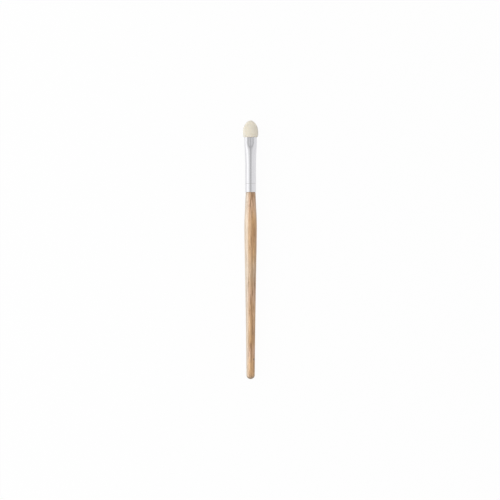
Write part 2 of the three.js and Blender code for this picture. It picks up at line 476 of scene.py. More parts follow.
@dataclass
class SharedEffects:
    """The effects that more than one finish uses, each built once as a node group.

    Attributes:
        lines: streaks drawn out along the applicator.
        mottle: soft cloudy unevenness.
        bands: a soft band round the applicator at one place along it.
    """

    lines: NodeTree = field(init=False)
    mottle: NodeTree = field(init=False)
    bands: NodeTree = field(init=False)

    def __post_init__(self) -> None:
        """Builds the groups."""
        self.lines = self.make_lines()
        self.mottle = self.make_mottle()
        self.bands = self.make_bands()

    @staticmethod
    def make_lines() -> NodeTree:
        """Noise stretched along Y, by its fineness across and along, per millimetre.

        Returns:
            The group.
        """
        kinds = {"Place": "NodeSocketVector", "Across": "NodeSocketFloat", "Along": "NodeSocketFloat"}
        sheet, given, out = new_group("Drawn lines", kinds, "Line")
        fineness = sheet.add(
            "ShaderNodeCombineXYZ",
            {0: given.outputs["Across"], 1: given.outputs["Along"], 2: given.outputs["Across"]},
        ).outputs[0]
        stretched = sheet.vector("MULTIPLY", given.outputs["Place"], fineness).outputs[0]
        inputs = {"Vector": stretched, "Scale": 1.0, "Detail": 3.0, "Roughness": 0.6}
        sheet.feed(out, {0: sheet.add("ShaderNodeTexNoise", inputs).outputs[0]})
        return sheet.tree

    @staticmethod
    def make_mottle() -> NodeTree:
        """Round cloudy noise, by the size of its clouds in millimetres.

        Returns:
            The group.
        """
        kinds = {"Place": "NodeSocketVector", "Size": "NodeSocketFloat"}
        sheet, given, out = new_group("Soft mottle", kinds, "Cloud")
        fineness = sheet.math("DIVIDE", 1.0, given.outputs["Size"])
        inputs = {"Vector": given.outputs["Place"], "Scale": fineness, "Detail": 2.0, "Roughness": 0.5}
        cloud = sheet.add("ShaderNodeTexNoise", inputs).outputs[0]
        sheet.feed(out, {0: sheet.remap(cloud, NOISE_SPAN)})
        return sheet.tree

    @staticmethod
    def make_bands() -> NodeTree:
        """A band that is 1 at its place along Y and fades to 0 over its reach, in millimetres.

        Returns:
            The group.
        """
        kinds = {"Place": "NodeSocketVector", "Along": "NodeSocketFloat", "Reach": "NodeSocketFloat"}
        sheet, given, out = new_group("Soft band", kinds, "Band")
        along = sheet.axis(given.outputs["Place"], 1)
        away = sheet.math("ABSOLUTE", sheet.math("SUBTRACT", along, given.outputs["Along"]))
        share = sheet.math("DIVIDE", away, given.outputs["Reach"])
        sheet.feed(out, {0: sheet.remap(share, (0.0, 1.0), (1.0, 0.0))})
        return sheet.tree

    def cloud(self, sheet: NodeSheet, place: Socket, size: float) -> Socket:
        """Clouds of that size, in millimetres, placed in a material."""
        return sheet.group(self.mottle, {0: place, 1: size})

    def band(self, sheet: NodeSheet, place: Socket, along: float, reach: float) -> Socket:
        """A band round the applicator, by its place and reach in millimetres, placed in a material."""
        return sheet.group(self.bands, {0: place, 1: along, 2: reach})


@dataclass(frozen=True)
class GrainLines:
    """One kind of line that runs along the applicator.

    Attributes:
        across: how fine the lines are across the applicator, per millimetre.
        along: how fine they are along it.
        read: the span of the noise that is read.
        shown: the range that it is brought to.
    """

    across: float
    along: float
    read: Pair
    shown: Pair

    def lines(self, sheet: NodeSheet, shared: SharedEffects, place: Socket) -> Socket:
        """The bare noise at a place."""
        return sheet.group(shared.lines, {0: place, 1: self.across, 2: self.along})

    def level(self, sheet: NodeSheet, lines: Socket) -> Socket:
        """The bare noise brought to the range that shows."""
        return sheet.remap(lines, self.read, self.shown)


# Finishes


@dataclass(frozen=True)
class WoodFinish:
    """Pale wood under a clear satin lacquer. Places and sizes in millimetres.

    Attributes:
        gold: the wood's warmer patches.
        pink: the wood's flushed patches.
        beige: the wood's paler patch.
        sapwood_and_painted_highlight: pale sapwood colour down the handle's left side, which is also a
            painted highlight on the side that faces the lamps.
        heart: what a wavering stripe of darker heartwood, right of the axis, takes from the colour.
        early_wood: what the early wood that starts a growth ring takes from it.
        ring_body: what the body of a growth ring takes from it.
        ring_end: what the late wood that ends a ring takes from it.
        streak: what the short dark streaks and the pores take from it.
        shoulder_shade: painted shade, what the colour loses next to the ferrule.
        butt_dark_and_seam_shadow: the dark colour towards the butt, and the painted shadow under the
            ferrule.
        knot_colour: the pin knot's colour.
        patch_size: the size of the warm and flushed patches across the grain.
        patch_along: how fine they are along the grain, next to across it.
        patch_share: how much the flushed patches show.
        flushes: where along the handle it is flushed all round, and how far each place reaches.
        pale_patch: where the paler patch lies, and how far it reaches.
        pale_share: how much it shows.
        sapwood_highlight_edge: where across X the pale sapwood and painted highlight starts, and where it
            is whole.
        sapwood_highlight_share: how much that pale, painted highlight side shows there.
        sapwood_highlight_figure: how much of the rings, streaks and pores is left under that painted
            highlight.
        heart_patches: where along the handle the heartwood shows, and how far each place reaches.
        heart_line: how far right of the axis it runs.
        heart_reach: how far it fades out on each side.
        heart_sway: how far it wavers.
        ring_spacing: the growth rings' spacing.
        ring_phase: where in a ring's cycle the pith lies, in radians.
        ring_stops: the shares of a ring at which its early wood, its body and its late wood end.
        pith: the growth rings' centre across X and Z, at the butt.
        lean_deg: how far the rings' axis leans from the handle's, about X and Z.
        warp: how far the rings sway.
        warp_across: how fine that sway is across the grain, per millimetre.
        warp_along: how fine it is along the grain.
        fibre: the fine lines of the fibre, and what they do to the colour.
        fibre_roughness: the lacquer's roughness from low fibre to high.
        fibre_height: the fibre's height next to a pore's depth.
        streaks: the short dark streaks.
        clouds: the long light and dark stretches.
        pore_across: how fine the pores' dashes are across the grain, per millimetre.
        pore_along: how fine they are along it.
        pore_edge: the distances from a dash's middle at which it ends and is whole, as shares.
        pore_share: how much the pores show.
        grain_depth: how deep the grain is under the lacquer.
        butt_reach: how far the darkening reaches up from the butt.
        butt_share: how much it shows there.
        seam: where the painted shadow under the ferrule is darkest.
        seam_shadow_reach: how far it reaches from there.
        seam_shadow_share: how much it shows there.
        shoulder_reach: how far that painted shade reaches down from the ferrule.
        knot: the pin knot's place on the handle's skin, near the butt.
        knot_edge: the distances from its middle at which it ends and is whole.
        knot_share: how much it shows.
    """

    gold: Colour = (0.83, 0.515, 0.23)
    pink: Colour = (0.84, 0.54, 0.34)
    beige: Colour = (0.84, 0.62, 0.42)
    sapwood_and_painted_highlight: Colour = (0.80, 0.69, 0.56)
    heart: Colour = (0.80, 0.74, 0.64)
    early_wood: Colour = (1.0, 1.0, 1.0)
    ring_body: Colour = (0.94, 0.91, 0.86)
    ring_end: Colour = (0.68, 0.59, 0.48)
    streak: Colour = (0.54, 0.44, 0.33)
    shoulder_shade: Colour = (0.90, 0.92, 0.94)
    butt_dark_and_seam_shadow: Colour = (0.20, 0.15, 0.10)
    knot_colour: Colour = (0.10, 0.055, 0.03)
    patch_size: float = 3.0
    patch_along: float = 0.11
    patch_share: float = 0.5
    flushes: tuple[Pair, ...] = ((112.0, 13.0), (54.0, 9.0), (17.0, 8.0))
    pale_patch: Pair = (68.0, 14.0)
    pale_share: float = 0.8
    sapwood_highlight_edge: Pair = (-0.6, -2.6)
    sapwood_highlight_share: float = 0.8
    sapwood_highlight_figure: float = 0.35
    heart_patches: tuple[Pair, ...] = ((16.0, 36.0), (106.0, 18.0))
    heart_line: float = 1.3
    heart_reach: float = 1.0
    heart_sway: float = 0.6
    ring_spacing: float = 1.16
    ring_phase: float = 0.56
    ring_stops: tuple[float, float, float] = (0.35, 0.62, 0.88)
    pith: Point = (-7.6, -9.95)
    lean_deg: Pair = (-0.53, 0.98)
    warp: float = 0.1
    warp_across: float = 0.16
    warp_along: float = 0.02
    fibre: GrainLines = GrainLines(across=6.0, along=0.16, read=NOISE_SPAN, shown=(0.82, 1.12))
    fibre_roughness: Pair = (0.62, 0.48)
    fibre_height: float = 0.5
    streaks: GrainLines = GrainLines(across=1.7, along=0.075, read=(0.51, 0.65), shown=(0.0, 1.0))
    clouds: GrainLines = GrainLines(across=0.4, along=0.012, read=(0.34, 0.66), shown=(0.86, 1.06))
    pore_across: float = 3.4
    pore_along: float = 0.32
    pore_edge: Pair = (0.24, 0.12)
    pore_share: float = 0.6
    grain_depth: float = 0.02
    butt_reach: float = 3.4
    butt_share: float = 0.8
    seam: float = 118.2
    seam_shadow_reach: float = 0.9
    seam_shadow_share: float = 0.2
    shoulder_reach: float = 15.0
    knot: Place = (2.1, 12.8, 1.8)
    knot_edge: Pair = (0.85, 0.2833)
    knot_share: float = 0.95

    def material(self, datum: Datum, shared: SharedEffects) -> Material:
        """Builds the wood: rings cut through by the turned surface, streaks, pores and lacquer.

        Args:
            datum: where the applicator lies.
            shared: the shared effects.

        Returns:
            The material.
        """
        material, sheet, shader = new_material("lacquered_wood")
        place = sheet.millimetres(datum)
        fibre = self.fibre.lines(sheet, shared, place)
        pores = self.pores(sheet, place)
        # Less of the rings, streaks and pores shows on the left side, under the painted highlight there
        figured = sheet.remap(sheet.axis(place, 0), self.sapwood_highlight_edge, (1.0, self.sapwood_highlight_figure))
        streaks = self.streaks.level(sheet, self.streaks.lines(sheet, shared, place))
        clouds = self.clouds.level(sheet, self.clouds.lines(sheet, shared, place))
        dashes = sheet.times(sheet.times(pores, figured), self.pore_share)
        tints = (
            (figured, self.ring_tint(sheet, place)),
            (sheet.times(streaks, figured), self.streak),
            (1.0, sheet.grey(clouds)),
            (1.0, sheet.grey(self.fibre.level(sheet, fibre))),
            (dashes, self.streak),
        )
        colour = self.ground(sheet, shared, place)
        for share, tint in tints:
            colour = sheet.blend(share, colour, tint, Blend.TINT)
        colour = self.dark_ends_and_painted_shade(sheet, shared, place, colour)
        colour = sheet.blend(self.knot_mask(sheet, place), colour, self.knot_colour)
        grain = sheet.math("SUBTRACT", sheet.times(fibre, self.fibre_height), pores)
        sheet.feed(
            shader,
            {
                "Base Color": colour,
                "Roughness": sheet.remap(fibre, self.fibre.read, self.fibre_roughness),
                "Normal": sheet.bump(grain, self.grain_depth, strength=0.35),
                "Specular IOR Level": 0.3,
                "Coat Weight": 1.0,
                "Coat Roughness": 0.4,
                "Coat IOR": 1.6,
            },
        )
        return material

    def ground(self, sheet: NodeSheet, shared: SharedEffects, place: Socket) -> Socket:
        """The wood's colour before its rings: patches, the pale sapwood side that is also a painted
        highlight, and heartwood.

        Args:
            sheet: the material's node sheet.
            shared: the shared effects.
            place: the place, in millimetres.

        Returns:
            The colour.
        """
        uneven = shared.cloud(sheet, sheet.stretched(place, 1.0, self.patch_along), self.patch_size)
        colour = sheet.blend(sheet.times(uneven, self.patch_share), self.gold, self.pink)
        for along, reach in self.flushes:
            colour = sheet.blend(shared.band(sheet, place, along, reach), colour, self.pink)
        pale = shared.band(sheet, place, *self.pale_patch)
        colour = sheet.blend(sheet.times(pale, self.pale_share), colour, self.beige)
        aside = sheet.axis(place, 0)
        # Pale sapwood colour down the left side, which is also a painted highlight where the lamps glance
        # off the lacquer
        sapwood_and_painted_highlight = sheet.remap(aside, self.sapwood_highlight_edge, (0.0, self.sapwood_highlight_share))
        colour = sheet.blend(sapwood_and_painted_highlight, colour, self.sapwood_and_painted_highlight)
        sway = sheet.times(sheet.math("SUBTRACT", uneven, NOISE_MIDDLE), self.heart_sway)
        off_line = sheet.math("SUBTRACT", sheet.math("ADD", aside, sway), self.heart_line)
        heart = sheet.remap(sheet.math("ABSOLUTE", off_line), (self.heart_reach, 0.0))
        for along, reach in self.heart_patches:
            patch = sheet.times(heart, shared.band(sheet, place, along, reach))
            colour = sheet.blend(patch, colour, self.heart, Blend.TINT)
        return colour

    def ring_tint(self, sheet: NodeSheet, place: Socket) -> Socket:
        """What the growth rings take from the colour at a place.

        Args:
            sheet: the material's node sheet.
            place: the place, in millimetres.

        Returns:
            The tint, from early wood to the dark line of late wood.
        """
        slow = sheet.stretched(place, self.warp_across, self.warp_along)
        sway = sheet.add("ShaderNodeTexNoise", {"Vector": slow, "Scale": 1.0, "Detail": 2.0}).outputs[1]
        centred = sheet.vector("SUBTRACT", sway, (NOISE_MIDDLE,) * 3).outputs[0]
        reach = self.warp / NOISE_SWING
        swayed = sheet.add(
            "ShaderNodeVectorMath",
            {0: centred, 1: (reach, 0.0, reach), 2: place},
            operation="MULTIPLY_ADD",
        ).outputs[0]
        lean = (math.radians(self.lean_deg[0]), 0.0, math.radians(self.lean_deg[1]))
        centre = (-self.pith[0], 0.0, -self.pith[1])
        leant = sheet.add("ShaderNodeMapping", {"Vector": swayed, "Location": centre, "Rotation": lean})
        wave = sheet.add(
            "ShaderNodeTexWave",
            {
                "Vector": leant.outputs[0],
                "Scale": 2 * math.pi / RING_RATE / self.ring_spacing,
                "Phase Offset": self.ring_phase,
                "Distortion": 0.6,
                "Detail": 2.0,
                "Detail Scale": 0.8,
            },
            wave_type="RINGS",
            rings_direction="Y",
            wave_profile="SAW",
        )
        colours = (self.early_wood, self.early_wood, self.ring_body, self.ring_end, self.early_wood)
        return sheet.ramp(wave.outputs[1], zip((0.0, *self.ring_stops, 1.0), colours))

    def pores(self, sheet: NodeSheet, place: Socket) -> Socket:
        """A mask of the fine dark dashes of cut pores along the grain.

        Args:
            sheet: the material's node sheet.
            place: the place, in millimetres.

        Returns:
            The mask.
        """
        dashes = sheet.stretched(place, self.pore_across, self.pore_along)
        cells = sheet.add("ShaderNodeTexVoronoi", {"Vector": dashes, "Scale": 1.0, "Randomness": 1.0})
        return sheet.remap(cells.outputs[0], self.pore_edge)

    def dark_ends_and_painted_shade(self, sheet: NodeSheet, shared: SharedEffects, place: Socket, colour: Socket) -> Socket:
        """The wood's colour darkened towards the butt, with a painted shadow under the ferrule's rim and
        painted shade on the shoulder below it.

        Args:
            sheet: the material's node sheet.
            shared: the shared effects.
            place: the place, in millimetres.
            colour: the colour before that darkening and painted shade.

        Returns:
            The colour.
        """
        # Darker towards the butt
        butt = shared.band(sheet, place, 0.0, self.butt_reach)
        colour = sheet.blend(sheet.times(butt, self.butt_share), colour, self.butt_dark_and_seam_shadow)
        # A painted shadow under the ferrule's rim
        seam = shared.band(sheet, place, self.seam, self.seam_shadow_reach)
        colour = sheet.blend(sheet.times(seam, self.seam_shadow_share), colour, self.butt_dark_and_seam_shadow)
        # Painted shade on the shoulder next to the ferrule
        shoulder_painted_shade = shared.band(sheet, place, self.seam, self.shoulder_reach)
        return sheet.blend(shoulder_painted_shade, colour, self.shoulder_shade, Blend.TINT)

    def knot_mask(self, sheet: NodeSheet, place: Socket) -> Socket:
        """A mask of the one pin knot near the butt."""
        away = sheet.vector("DISTANCE", place, self.knot).outputs[1]
        return sheet.remap(away, self.knot_edge, (0.0, self.knot_share))


@dataclass(frozen=True)
class MetalFinish:
    """Bright drawn aluminium, with lines from the drawing die and darker metal in the crimp's groove.

    Attributes:
        crimp: the crimp's place along the applicator, in millimetres.
        bright: the metal's colour.
        groove_dark: the colour of the crimp's groove.
        groove_dark_reach: how far the darkening fades out, in millimetres.
        groove_dark_share: how much of it shows.
        die_lines: the lines that the drawing die left, and how rough they make the metal.
        line_depth: how deep they are, in millimetres.
        dull_size: the size of the duller clouds, in millimetres.
        dull_rise: how much rougher those are.
    """

    crimp: float
    bright: Colour = (0.86, 0.856, 0.88)
    groove_dark: Colour = (0.62, 0.61, 0.60)
    groove_dark_reach: float = 0.45
    groove_dark_share: float = 0.5
    die_lines: GrainLines = GrainLines(across=9.0, along=0.05, read=NOISE_SPAN, shown=(0.14, 0.20))
    line_depth: float = 0.002
    dull_size: float = 2.5
    dull_rise: float = 0.03

    def material(self, datum: Datum, shared: SharedEffects) -> Material:
        """Builds the metal.

        Args:
            datum: where the applicator lies.
            shared: the shared effects.

        Returns:
            The material.
        """
        material, sheet, shader = new_material("drawn_aluminium")
        place = sheet.millimetres(datum)
        lines = self.die_lines.lines(sheet, shared, place)
        # Darker in the crimp's groove
        groove = shared.band(sheet, place, self.crimp, self.groove_dark_reach)
        dull = sheet.times(shared.cloud(sheet, place, self.dull_size), self.dull_rise)
        sheet.feed(
            shader,
            {
                "Base Color": sheet.blend(sheet.times(groove, self.groove_dark_share), self.bright, self.groove_dark),
                "Roughness": sheet.math("ADD", self.die_lines.level(sheet, lines), dull),
                "Metallic": 1.0,
                "Normal": sheet.bump(lines, self.line_depth, strength=0.2),
            },
        )
        return material


@dataclass(frozen=True)
class FoamFinish:
    """Cream open-cell foam. Sizes in millimetres.

    Attributes:
        cream: the colour of the cell walls.
        shade: the colour inside the cells.
        weld: the colour of the pressed rim.
        cell: the size of a cell.
        pricks_per_cell: how many of the finer cells lie side by side in one cell's size.
        cell_edge: the distances from a cell's middle at which it ends and is deepest, as shares.
        prick_edge: the same for the finer cells.
        cell_share: how much of the shade the cells show.
        prick_share: how much of it the finer cells show.
        cloud_share: how much of it soft clouds show.
        cloud_size: the size of those clouds.
        weld_edge: the heights off the weld at which the pressed rim ends and is whole.
        weld_share: how much it shows.
        prick_height: how deep the finer cells are next to the cells.
        cell_depth: how deep the cells are.
        glow_depth: how far light spreads inside the foam.
    """

    cream: Colour = (0.93, 0.855, 0.705)
    shade: Colour = (0.72, 0.62, 0.47)
    weld: Colour = (0.84, 0.76, 0.62)
    cell: float = 0.30
    pricks_per_cell: float = 2.3
    cell_edge: Pair = (0.55, 0.15)
    prick_edge: Pair = (0.5, 0.15)
    cell_share: float = 0.35
    prick_share: float = 0.2
    cloud_share: float = 0.10
    cloud_size: float = 1.6
    weld_edge: Pair = (0.5, 0.1)
    weld_share: float = 0.6
    prick_height: float = 0.4
    cell_depth: float = 0.05
    glow_depth: float = 1.4

    def material(self, datum: Datum, shared: SharedEffects) -> Material:
        """Builds the foam.

        Args:
            datum: where the applicator lies.
            shared: the shared effects.

        Returns:
            The material.
        """
        material, sheet, shader = new_material("cream_foam")
        place = sheet.millimetres(datum)
        cells = self.cells(sheet, place, 1 / self.cell, self.cell_edge)
        pricks = self.cells(sheet, place, self.pricks_per_cell / self.cell, self.prick_edge)
        cloud = shared.cloud(sheet, place, self.cloud_size)
        shades = ((cells, self.cell_share), (pricks, self.prick_share), (cloud, self.cloud_share))
        colour = self.cream
        for mask, share in shades:
            colour = sheet.blend(sheet.times(mask, share), colour, self.shade)
        off_weld = sheet.math("ABSOLUTE", sheet.axis(place, 2))
        pressed = sheet.remap(off_weld, self.weld_edge, (0.0, self.weld_share))
        colour = sheet.blend(pressed, colour, self.weld)
        height = sheet.math("SUBTRACT", sheet.times(pricks, -self.prick_height), cells)
        sheet.feed(
            shader,
            {
                "Base Color": colour,
                "Roughness": sheet.remap(cells, (0.0, 1.0), (0.9, 1.0)),
                "Normal": sheet.bump(height, self.cell_depth, strength=0.5),
                "Specular IOR Level": 0.5,
                "Sheen Weight": 0.65,
                "Sheen Roughness": 0.7,
                "Subsurface Weight": 0.3,
                "Subsurface Radius": (1.0, 0.92, 0.8),
                "Subsurface Scale": self.glow_depth * MM,
            },
        )
        return material

    @staticmethod
    def cells(sheet: NodeSheet, place: Socket, fineness: float, edge: Pair) -> Socket:
        """A mask of open cells, by their fineness per millimetre and their edge."""
        inputs = {"Vector": place, "Scale": fineness}
        return sheet.remap(sheet.add("ShaderNodeTexVoronoi", inputs).outputs[0], edge)


@dataclass(frozen=True)
class InnerFinish:
    """A plain cast finish for the pieces inside: moulded plastic or cured glue.

    Attributes:
        name: the material's name.
        clear: the main colour.
        cloudy: the colour of its clouds.
        roughness: the roughness from clear to cloudy.
        cloud_size: the size of its clouds, in millimetres.
        relief: how deep the cast surface dips, in millimetres.
    """

    name: str
    clear: Colour
    cloudy: Colour
    roughness: Pair
    cloud_size: float
    relief: float = 0.02

    def material(self, datum: Datum, shared: SharedEffects) -> Material:
        """Builds the cast finish.

        Args:
            datum: where the applicator lies.
            shared: the shared effects.

        Returns:
            The material.
        """
        material, sheet, shader = new_material(self.name)
        cloud = shared.cloud(sheet, sheet.millimetres(datum), self.cloud_size)
        sheet.feed(
            shader,
            {
                "Base Color": sheet.blend(cloud, self.clear, self.cloudy),
                "Roughness": sheet.remap(cloud, (0.0, 1.0), self.roughness),
                "Normal": sheet.bump(cloud, self.relief, strength=0.2),
            },
        )
        return material


# Pieces


@dataclass(frozen=True)
class Crimp:
    """The rolled groove that locks the ferrule on the tenon. Sizes in millimetres.

    Attributes:
        above_rim: how far above the ferrule's rim the groove's middle lies.
        width: its width.
        depth: its depth.
        steps: how many steps its round has.
    """

    above_rim: float = 5.5
    width: float = 0.8
    depth: float = 0.12
    steps: int = 12

    def middle(self, rim: float) -> float:
        """The groove's middle along the applicator, by the place of the ferrule's rim."""
        return rim + self.above_rim

    def points(self, rim: float, radius: float) -> list[Point]:
        """The groove in a wall, from its lower lip to its upper lip.

        Args:
            rim: the place of the ferrule's rim.
            radius: the wall's radius.

        Returns:
            The groove's points, as (radius, along).
        """
        low = self.middle(rim) - self.width / 2
        shares = [step / self.steps for step in range(self.steps + 1)]
        depths = [self.depth * math.sin(math.pi * share) ** 2 for share in shares]
        return [(radius - depth, low + self.width * share) for depth, share in zip(depths, shares)]


@dataclass
class Handle:
    """The turned handle with its tenon. Sizes in millimetres.

    Attributes:
        datum: where the applicator lies.
        crimp: the groove that the ferrule's crimp presses into the tenon.
        length: from the butt to the shoulder.
        butt_radius: the radius where the butt's dome starts.
        dome_length: the dome's length.
        taper_reach: how far up the taper's lower control lies.
        taper_rise: how much wider than the butt it is.
        belly_radius: the largest radius.
        belly_below_shoulder: how far the belly lies below the shoulder.
        belly_reach_down: how far the belly's roundness reaches down.
        belly_reach_up: how far it reaches up.
        shoulder_radius: the radius at the shoulder.
        shoulder_reach: how far down the swell's upper control lies.
        shoulder_rise: how much wider than the shoulder it is.
        shoulder_round: the radius of the shoulder's edge.
        tenon_radius: the tenon's radius.
        tenon_length: its length.
        tenon_chamfer: the chamfer at its end.
        dome_points: how many points draw the dome.
        taper_points: how many draw the taper.
        swell_points: how many draw the swell from the belly to the shoulder.
        edge_points: how many draw the shoulder's edge.
        turn_steps: facets in a full turn.
        crease_deg: edges sharper than this stay sharp.
    """

    datum: Datum
    crimp: Crimp = Crimp()
    length: float = 119.0
    butt_radius: float = 2.65
    dome_length: float = 2.6
    taper_reach: float = 50.0
    taper_rise: float = 0.45
    belly_radius: float = 4.0
    belly_below_shoulder: float = 23.0
    belly_reach_down: float = 10.0
    belly_reach_up: float = 7.0
    shoulder_radius: float = 3.15
    shoulder_reach: float = 8.0
    shoulder_rise: float = 0.32
    shoulder_round: float = 0.3
    tenon_radius: float = 2.9
    tenon_length: float = 12.5
    tenon_chamfer: float = 0.9
    dome_points: int = 20
    taper_points: int = 70
    swell_points: int = 28
    edge_points: int = 8
    turn_steps: int = 96
    crease_deg: float = 40.0

    @property
    def belly(self) -> float:
        """The belly's place along the applicator."""
        return self.length - self.belly_below_shoulder

    @property
    def rim(self) -> float:
        """Where along the applicator the ferrule's rim stands."""
        return self.length + SEAT_GAP

    def profile(self) -> list[Point]:
        """The outline from the butt's pole, up the belly and shoulder, to the end of the tenon.

        Returns:
            The outline's points, as (radius, along).
        """
        round_start = self.length - self.shoulder_round
        tenon_top = self.length + self.tenon_length
        dome_centre = (0.0, self.dome_length)
        dome_radii = (self.butt_radius, self.dome_length)
        dome = arc(dome_centre, dome_radii, -QUARTER_TURN, 0.0, self.dome_points)
        taper = bezier(
            (
                (self.butt_radius, self.dome_length),
                (self.butt_radius + self.taper_rise, self.dome_length + self.taper_reach),
                (self.belly_radius, self.belly - self.belly_reach_down),
                (self.belly_radius, self.belly),
            ),
            self.taper_points,
        )
        swell = bezier(
            (
                (self.belly_radius, self.belly),
                (self.belly_radius, self.belly + self.belly_reach_up),
                (self.shoulder_radius + self.shoulder_rise, round_start - self.shoulder_reach),
                (self.shoulder_radius, round_start),
            ),
            self.swell_points,
        )
        edge_centre = (self.shoulder_radius - self.shoulder_round, round_start)
        edge_radii = (self.shoulder_round, self.shoulder_round)
        edge = arc(edge_centre, edge_radii, 0.0, QUARTER_TURN, self.edge_points)
        tenon = [
            (self.tenon_radius, self.length),
            *self.crimp.points(self.rim, self.tenon_radius),
            (self.tenon_radius, tenon_top - self.tenon_chamfer),
            (self.tenon_radius - self.tenon_chamfer, tenon_top),
            (0.0, tenon_top),
        ]
        return [(0.0, 0.0), *dome[1:], *taper[1:], *swell[1:], *edge[1:], *tenon]

    def build(self, material: Material) -> Piece:
        """Turns the handle and dresses it.

        Args:
            material: the wood.

        Returns:
            The finished piece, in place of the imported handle.
        """
        bm = turned(self.profile(), self.turn_steps, closed=False)
        piece = finished_piece("handle_wood", bm, self.datum, self.crease_deg)
        return seated(piece, material, "handle")


@dataclass
class Ferrule:
    """The drawn tube, pressed flat at its mouth. Sizes in millimetres.

    Attributes:
        datum: where the applicator lies.
        handle: the handle that it is crimped on.
        length: its length.
        radius: the round tube's radius.
        wall: its wall.
        rim_break: how far the edges of its rim and mouth are rounded.
        mouth_half: half the pressed mouth's thickness.
        jaw_length: how long the jaws pressed it flat.
        press_run: how far past the jaws it is round again.
        spring_run: how far past the jaws the flats have sprung back to an oval.
        jaw_edge: how far the jaws' edge is softened.
        dish: how deep the flats are dished.
        ripple: how far the thin metal ripples.
        ripple_size: the size of the ripples.
        jaw_samples: how many places the softening takes.
        lip_points: how many points draw a rounded edge.
        step_length: the steps along the wall.
        turn_steps: facets in a full turn.
        crease_deg: edges sharper than this stay sharp.
    """

    datum: Datum
    handle: Handle
    length: float = 35.0
    radius: float = 3.4
    wall: float = 0.35
    rim_break: float = 0.1
    mouth_half: float = 2.35
    jaw_length: float = 4.0
    press_run: float = 15.0
    spring_run: float = 5.0
    jaw_edge: float = 0.7
    dish: float = 0.15
    ripple: float = 0.012
    ripple_size: float = 5.0
    jaw_samples: int = 5
    lip_points: int = 9
    step_length: float = 0.35
    turn_steps: int = 128
    crease_deg: float = 50.0

    @property
    def mouth(self) -> float:
        """The mouth's place along the applicator."""
        return self.handle.rim + self.length

    def past_jaws(self, along: float, run: float) -> float:
        """How far a place lies past the jaws, as a share of a run."""
        return clamped((self.mouth - self.jaw_length - along) / run)

    def half_thickness(self, along: float) -> float:
        """Half the tube's thickness at a place, with the jaws' edge softened.

        Args:
            along: the place along the applicator.

        Returns:
            The half thickness, the radius where the tube is still round.
        """
        last = self.jaw_samples - 1
        samples = [along + self.jaw_edge * (step / last - 0.5) for step in range(self.jaw_samples)]
        runs = [self.past_jaws(place, self.press_run) for place in samples]
        halves = [lerp(self.mouth_half, self.radius, math.sin(run * QUARTER_TURN)) for run in runs]
        return sum(halves) / len(halves)

    def spring_back(self, along: float) -> float:
        """How far the flats have sprung back to an oval at a place, eased from 0 to 1."""
        share = self.past_jaws(along, self.spring_run)
        return share * share * (3 - 2 * share)

    def pressed_point(self, angle: float, depth: float, along: float) -> Vector:
        """The place of a point of the pressed tube, whose girth stays as it was.

        Between the jaws the tube is flat and faintly dished, past them it springs back to an oval.

        Args:
            angle: the point's angle on the round tube.
            depth: how deep it lies under the tube's skin.
            along: its place along the applicator.

        Returns:
            The point.
        """
        half = self.half_thickness(along)
        flat = QUARTER_TURN * (self.radius - half)
        girth = math.asin(abs(math.sin(angle))) * self.radius
        bend = half * QUARTER_TURN
        turn = min(girth, bend) / half
        spring = self.spring_back(along)
        across = flat - max(0.0, girth - bend) + (half - depth) * math.cos(turn)
        lift = (half - depth) * math.sin(turn)
        if girth > bend:
            lift -= self.dish * math.sin((girth - bend) / flat * QUARTER_TURN) ** 2 * (1 - spring)
        across = math.copysign(across, math.cos(angle))
        lift = math.copysign(lift, math.sin(angle))
        # An oval keeps its girth, nearly, where the squares of its half widths keep their sum
        wide = flat + half - depth
        high = math.sqrt(2 * self.radius**2 - (flat + half) ** 2) - depth
        oval = Vector((wide * math.cos(angle), along, high * math.sin(angle)))
        return Vector((across, along, lift)).lerp(oval, spring)

    def wall_points(self, radius: float) -> list[Point]:
        """A straight wall from just above the crimp to the rounded mouth.

        Args:
            radius: the wall's radius.

        Returns:
            The wall's points, from the crimp up.
        """
        crimp = self.handle.crimp
        low = crimp.middle(self.handle.rim) + crimp.width
        high = self.mouth - self.rim_break
        count = round(self.length / self.step_length)
        return [(radius, lerp(low, high, step / count)) for step in range(count + 1)]

    def profile(self) -> list[Point]:
        """The wall's closed outline: up the outside, over the mouth, down the bore, round the rim.

        Returns:
            The outline's points, as (radius, along).
        """
        rim = self.handle.rim
        half_wall = self.wall / 2
        centre = self.radius - half_wall
        lip = (half_wall, self.rim_break)
        mouth_lip = arc((centre, self.mouth - self.rim_break), lip, 0.0, math.pi, self.lip_points)
        rim_lip = arc((centre, rim + self.rim_break), lip, -math.pi, 0.0, self.lip_points)
        outside, inside = (
            [*self.handle.crimp.points(rim, radius), *self.wall_points(radius)[:-1]]
            for radius in (self.radius, self.radius - self.wall)
        )
        return [*rim_lip, *outside, *mouth_lip, *reversed(inside)]

    def build(self, material: Material) -> Piece:
        """Turns the tube, presses its mouth, gives it the faint ripple of thin metal and dresses it.

        Args:
            material: the metal.

        Returns:
            The finished piece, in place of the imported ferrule.
        """
        bm = turned(self.profile(), self.turn_steps, closed=True)
        for vert in bm.verts:
            angle = math.atan2(vert.co.z, vert.co.x)
            depth = self.radius - math.hypot(vert.co.x, vert.co.z)
            pressed = self.pressed_point(angle, depth, vert.co.y)
            outward = Vector((pressed.x, 0.0, pressed.z)).normalized()
            vert.co = pressed + outward * self.ripple * noise.noise(pressed / self.ripple_size)
        face_outwards(bm)
        piece = finished_piece("ferrule_shell", bm, self.datum, self.crease_deg)
        return seated(piece, material, "ferrule")


